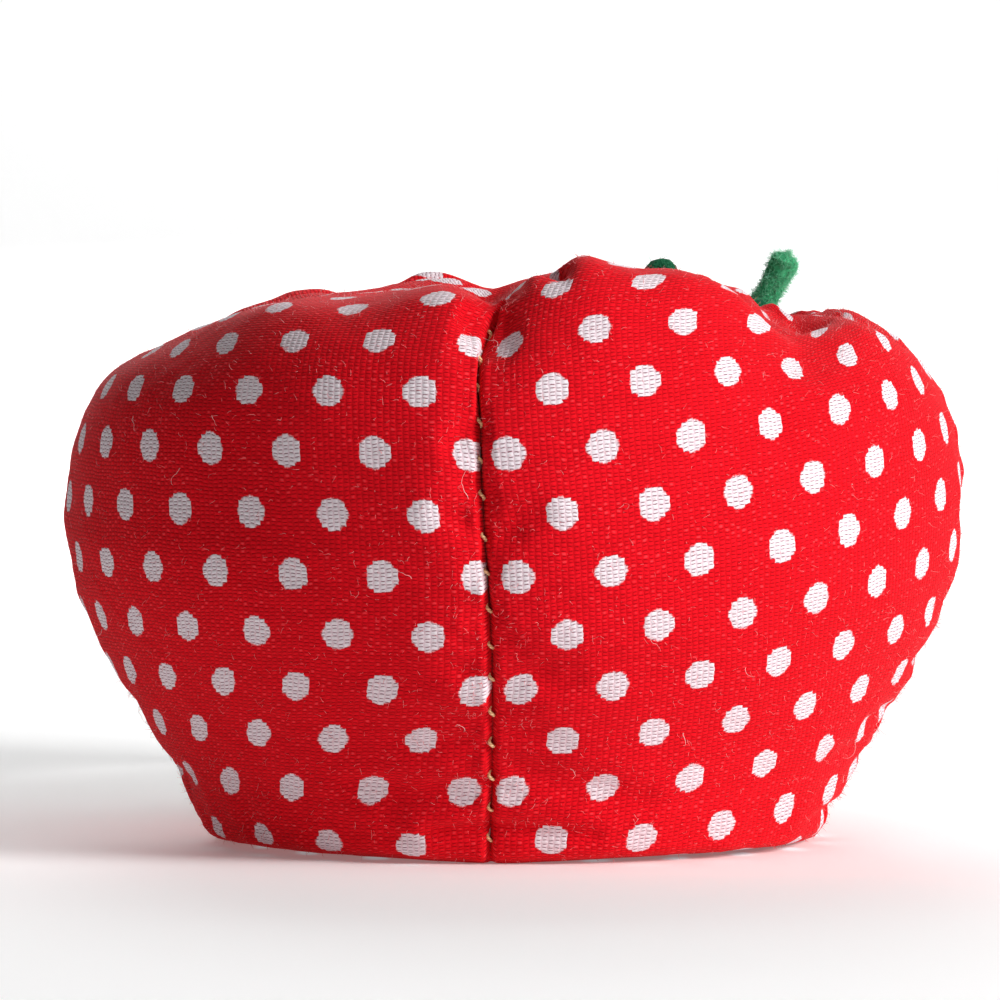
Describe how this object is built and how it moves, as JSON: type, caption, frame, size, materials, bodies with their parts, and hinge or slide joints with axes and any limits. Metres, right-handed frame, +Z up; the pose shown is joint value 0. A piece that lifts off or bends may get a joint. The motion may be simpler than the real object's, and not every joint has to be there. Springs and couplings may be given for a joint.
{
  "type": "wrist pin cushion",
  "caption": "Stuffed fabric strawberry pin cushion with a felt calyx, a padded flat back and a sewn elastic wrist band.",
  "frame": {"origin": "on the flat base that the cushion stands on, below the middle of its body", "axes": "+Z up, +X to the right when the cushion is seen from its front, +Y from the cushion towards the wrist band"},
  "size_m": [0.0648, 0.0978, 0.0432],
  "materials": {
    "cotton": "printed plain-weave cotton, red with white pin dots",
    "fibre_filling": "loose fibre filling",
    "seam_thread": "machine sewing thread",
    "red_thread": "hand sewing thread",
    "calyx_felt": "dark green felt",
    "stem_felt": "bright green felt",
    "green_thread": "hand sewing thread",
    "guard_plate": "stiff sheet",
    "elastic": "ribbed knitted elastic",
    "grey_thread": "machine sewing thread"
  },
  "bodies": {
    "cushion": {"gore_front_left": "cotton", "gore_front_right": "cotton", "gore_back_left": "cotton", "gore_back_right": "cotton", "filling": "fibre_filling", "seam_thread_front": "seam_thread", "seam_thread_left": "seam_thread", "seam_thread_right": "seam_thread", "seam_thread_back": "seam_thread", "gather_thread": "red_thread", "tip_stitches": "red_thread", "calyx": "calyx_felt", "calyx_stitches": "green_thread", "needle_guard": "guard_plate", "wrist_patch": "calyx_felt", "patch_stitches": "green_thread", "band_under_end": "elastic", "band_over_end": "elastic", "band_box_stitches": "grey_thread"},
    "band_sides": {"band_left_side": "elastic", "band_right_side": "elastic"},
    "band_far": {"band_far_run": "elastic"},
    "stem": {"stem_strip": "stem_felt"}
  },
  "joints": [
    {"name": "band_tilt", "type": "hinge", "parent": "cushion", "child": "band_sides", "pos_m": [0, 0.0262, 0.0225], "axis": [1, 0, 0], "range_deg": [-12, 30], "stiffness_Nm_per_rad": 0.02, "deforming": ["band_left_side", "band_right_side"]},
    {"name": "band_stretch", "type": "slide", "parent": "band_sides", "child": "band_far", "axis": [0, 1, 0], "range_m": [0, 0.025], "stiffness_N_per_m": 120},
    {"name": "stem_bend", "type": "hinge", "parent": "cushion", "child": "stem", "pos_m": [0.0172, 0.003, 0.03755], "axis": [0, 1, 0], "range_deg": [-35, 8], "stiffness_Nm_per_rad": 0.00025}
  ]
}
